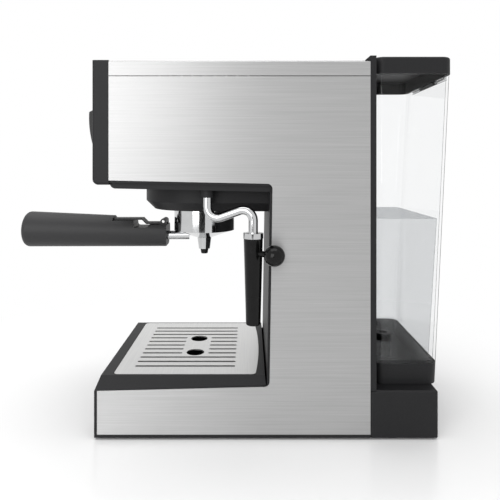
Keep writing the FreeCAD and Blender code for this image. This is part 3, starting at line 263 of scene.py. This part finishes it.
def water_ring(z):
    """Outline of the water at one height, with round corners. The tank's rear wall leans outward."""
    low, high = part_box("water_tank")
    foot_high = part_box("tank_foot")[1]
    lean = (high.y - foot_high.y) / (high.z - foot_high.z)
    left = low.x + WATER_INSET + WATER_CORNER
    right = high.x - WATER_INSET - WATER_CORNER
    front = low.y + WATER_INSET + WATER_CORNER
    rear = foot_high.y + lean * (z - foot_high.z) - WATER_REAR_INSET - WATER_CORNER
    points = []
    for x, y, start in ((right, rear, 0), (left, rear, 90), (left, front, 180), (right, front, 270)):
        for step in range(CORNER_STEPS + 1):
            angle = math.radians(start + 90 * step / CORNER_STEPS)
            points.append((x + WATER_CORNER * math.cos(angle), y + WATER_CORNER * math.sin(angle), z))
    return points


def water():
    """Water standing in the tank, closed on all sides and a little inside its walls."""
    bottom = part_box("water_tank")[0].z + WATER_RISE
    mesh = bmesh.new()
    lower, upper = ([mesh.verts.new(p) for p in water_ring(z)] for z in (bottom, WATER_LEVEL))
    for i in range(len(lower)):
        j = (i + 1) % len(lower)
        mesh.faces.new((lower[i], lower[j], upper[j], upper[i]))
    mesh.faces.new(list(reversed(lower)))
    mesh.faces.new(upper)
    data = bpy.data.meshes.new("tank_water")
    mesh.to_mesh(data)
    mesh.free()
    obj = bpy.data.objects.new("tank_water", data)
    bpy.context.scene.collection.objects.link(obj)
    data.materials.append(clear_plastic("water", (0.865, 0.870, 0.875), (0.62, 0.63, 0.64)))
    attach(obj, "water_tank")
    return obj


def distance_from_footprint(tree):
    """Level distance from the machine's footprint, which runs from the base plate to the tank dock."""
    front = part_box("base_plate")[0]
    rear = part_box("tank_dock")[1]
    middle = ((front + rear) / 2).to_2d().to_3d()
    half = ((rear - front) / 2).to_2d().to_3d()
    outside = add(tree, "ShaderNodeTexCoord").outputs["Object"]
    for operation, other in (("SUBTRACT", middle), ("ABSOLUTE", None), ("SUBTRACT", half),
                             ("MAXIMUM", (0, 0, 0))):
        step = add(tree, "ShaderNodeVectorMath", operation=operation)
        tree.links.new(outside, step.inputs[0])
        if other is not None:
            step.inputs[1].default_value = other
        outside = step.outputs["Vector"]
    distance = add(tree, "ShaderNodeVectorMath", operation="LENGTH")
    tree.links.new(outside, distance.inputs[0])
    return distance.outputs["Value"]


def floor_material():
    """Pale floor that takes the shadow near the machine and turns into plain white away from it."""
    material, tree, output = new_material("pale_floor")
    near = add(tree, "ShaderNodeBsdfPrincipled")
    noise = object_noise(tree, 6.0)
    tree.links.new(colour_ramp(tree, noise, grey(0.94), grey(0.95)), near.inputs["Base Color"])
    tree.links.new(value_range(tree, noise, (0.18, 0.22)), near.inputs["Roughness"])
    plain = add(tree, "ShaderNodeEmission", Color=WHITE, Strength=WHITE_STRENGTH)
    far = value_range(tree, distance_from_footprint(tree), (0.0, 1.0), SHADOW_REACH)
    shown = add(tree, "ShaderNodeMath", operation="MULTIPLY")
    tree.links.new(far, shown.inputs[0])
    tree.links.new(seen_directly(tree), shown.inputs[1])
    tree.links.new(mixed(tree, shown.outputs["Value"], near.outputs["BSDF"], plain.outputs["Emission"]),
                   output.inputs["Surface"])
    return material


def floor():
    bpy.ops.mesh.primitive_plane_add(size=FLOOR_SIZE, location=(0, 0, 0))
    plane = bpy.context.object
    plane.name = "floor"
    plane.data.materials.append(floor_material())


def dark_card():
    """Gives the polished metal something dark to reflect, as a studio does. It stands still in every view."""
    low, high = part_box("portafilter_bowl")
    toward = (low + high) / 2 - Vector(CARD_PLACE)
    upright = (math.radians(90), 0, math.atan2(toward.y, toward.x) + math.radians(90))
    bpy.ops.mesh.primitive_plane_add(size=1.0, location=CARD_PLACE, rotation=upright)
    card = bpy.context.object
    card.name = "dark_card"
    card.scale = (*CARD_SIZE, 1)
    card.data.materials.append(surface("dark_card", grey(0.018), grey(0.022), (0.9, 1.0), specular=0.1))
    card.visible_camera = False
    card.visible_diffuse = False
    card.visible_shadow = False


def area_light(name, place, size, power):
    light = bpy.data.lights.new(name, "AREA")
    light.shape = "RECTANGLE"
    light.size, light.size_y = size
    light.energy = power
    lamp = bpy.data.objects.new(name, light)
    lamp.location = place
    lamp.rotation_euler = (Vector(LAMP_TARGET) - Vector(place)).to_track_quat("-Z", "Y").to_euler()
    bpy.context.scene.collection.objects.link(lamp)


def studio():
    """White surround for the lens and for reflections, a plain grey fill for everything else, two lamps."""
    world = bpy.data.worlds.new("studio")
    bpy.context.scene.world = world
    world.use_nodes = True
    tree = world.node_tree
    tree.nodes.clear()
    output = add(tree, "ShaderNodeOutputWorld")
    fill = add(tree, "ShaderNodeBackground", Color=WHITE, Strength=FILL_STRENGTH)
    white = add(tree, "ShaderNodeBackground", Color=WHITE, Strength=WHITE_STRENGTH)
    tree.links.new(mixed(tree, seen_directly(tree), fill.outputs["Background"], white.outputs["Background"]),
                   output.inputs["Surface"])
    for name, (place, size, power) in LAMPS.items():
        area_light(name, place, size, power)


def camera():
    data = bpy.data.cameras.new("photo_view")
    data.lens = CAMERA_LENS
    data.sensor_width = SENSOR_WIDTH
    data.shift_y = CAMERA_SHIFT_Y
    view = bpy.data.objects.new("photo_view", data)
    view.location = CAMERA_PLACE
    view.rotation_euler = CAMERA_TURN
    bpy.context.scene.collection.objects.link(view)
    bpy.context.scene.camera = view


finish_nodes()
water()
floor()
dark_card()
studio()
camera()
bpy.context.scene.view_settings.view_transform = "Standard"
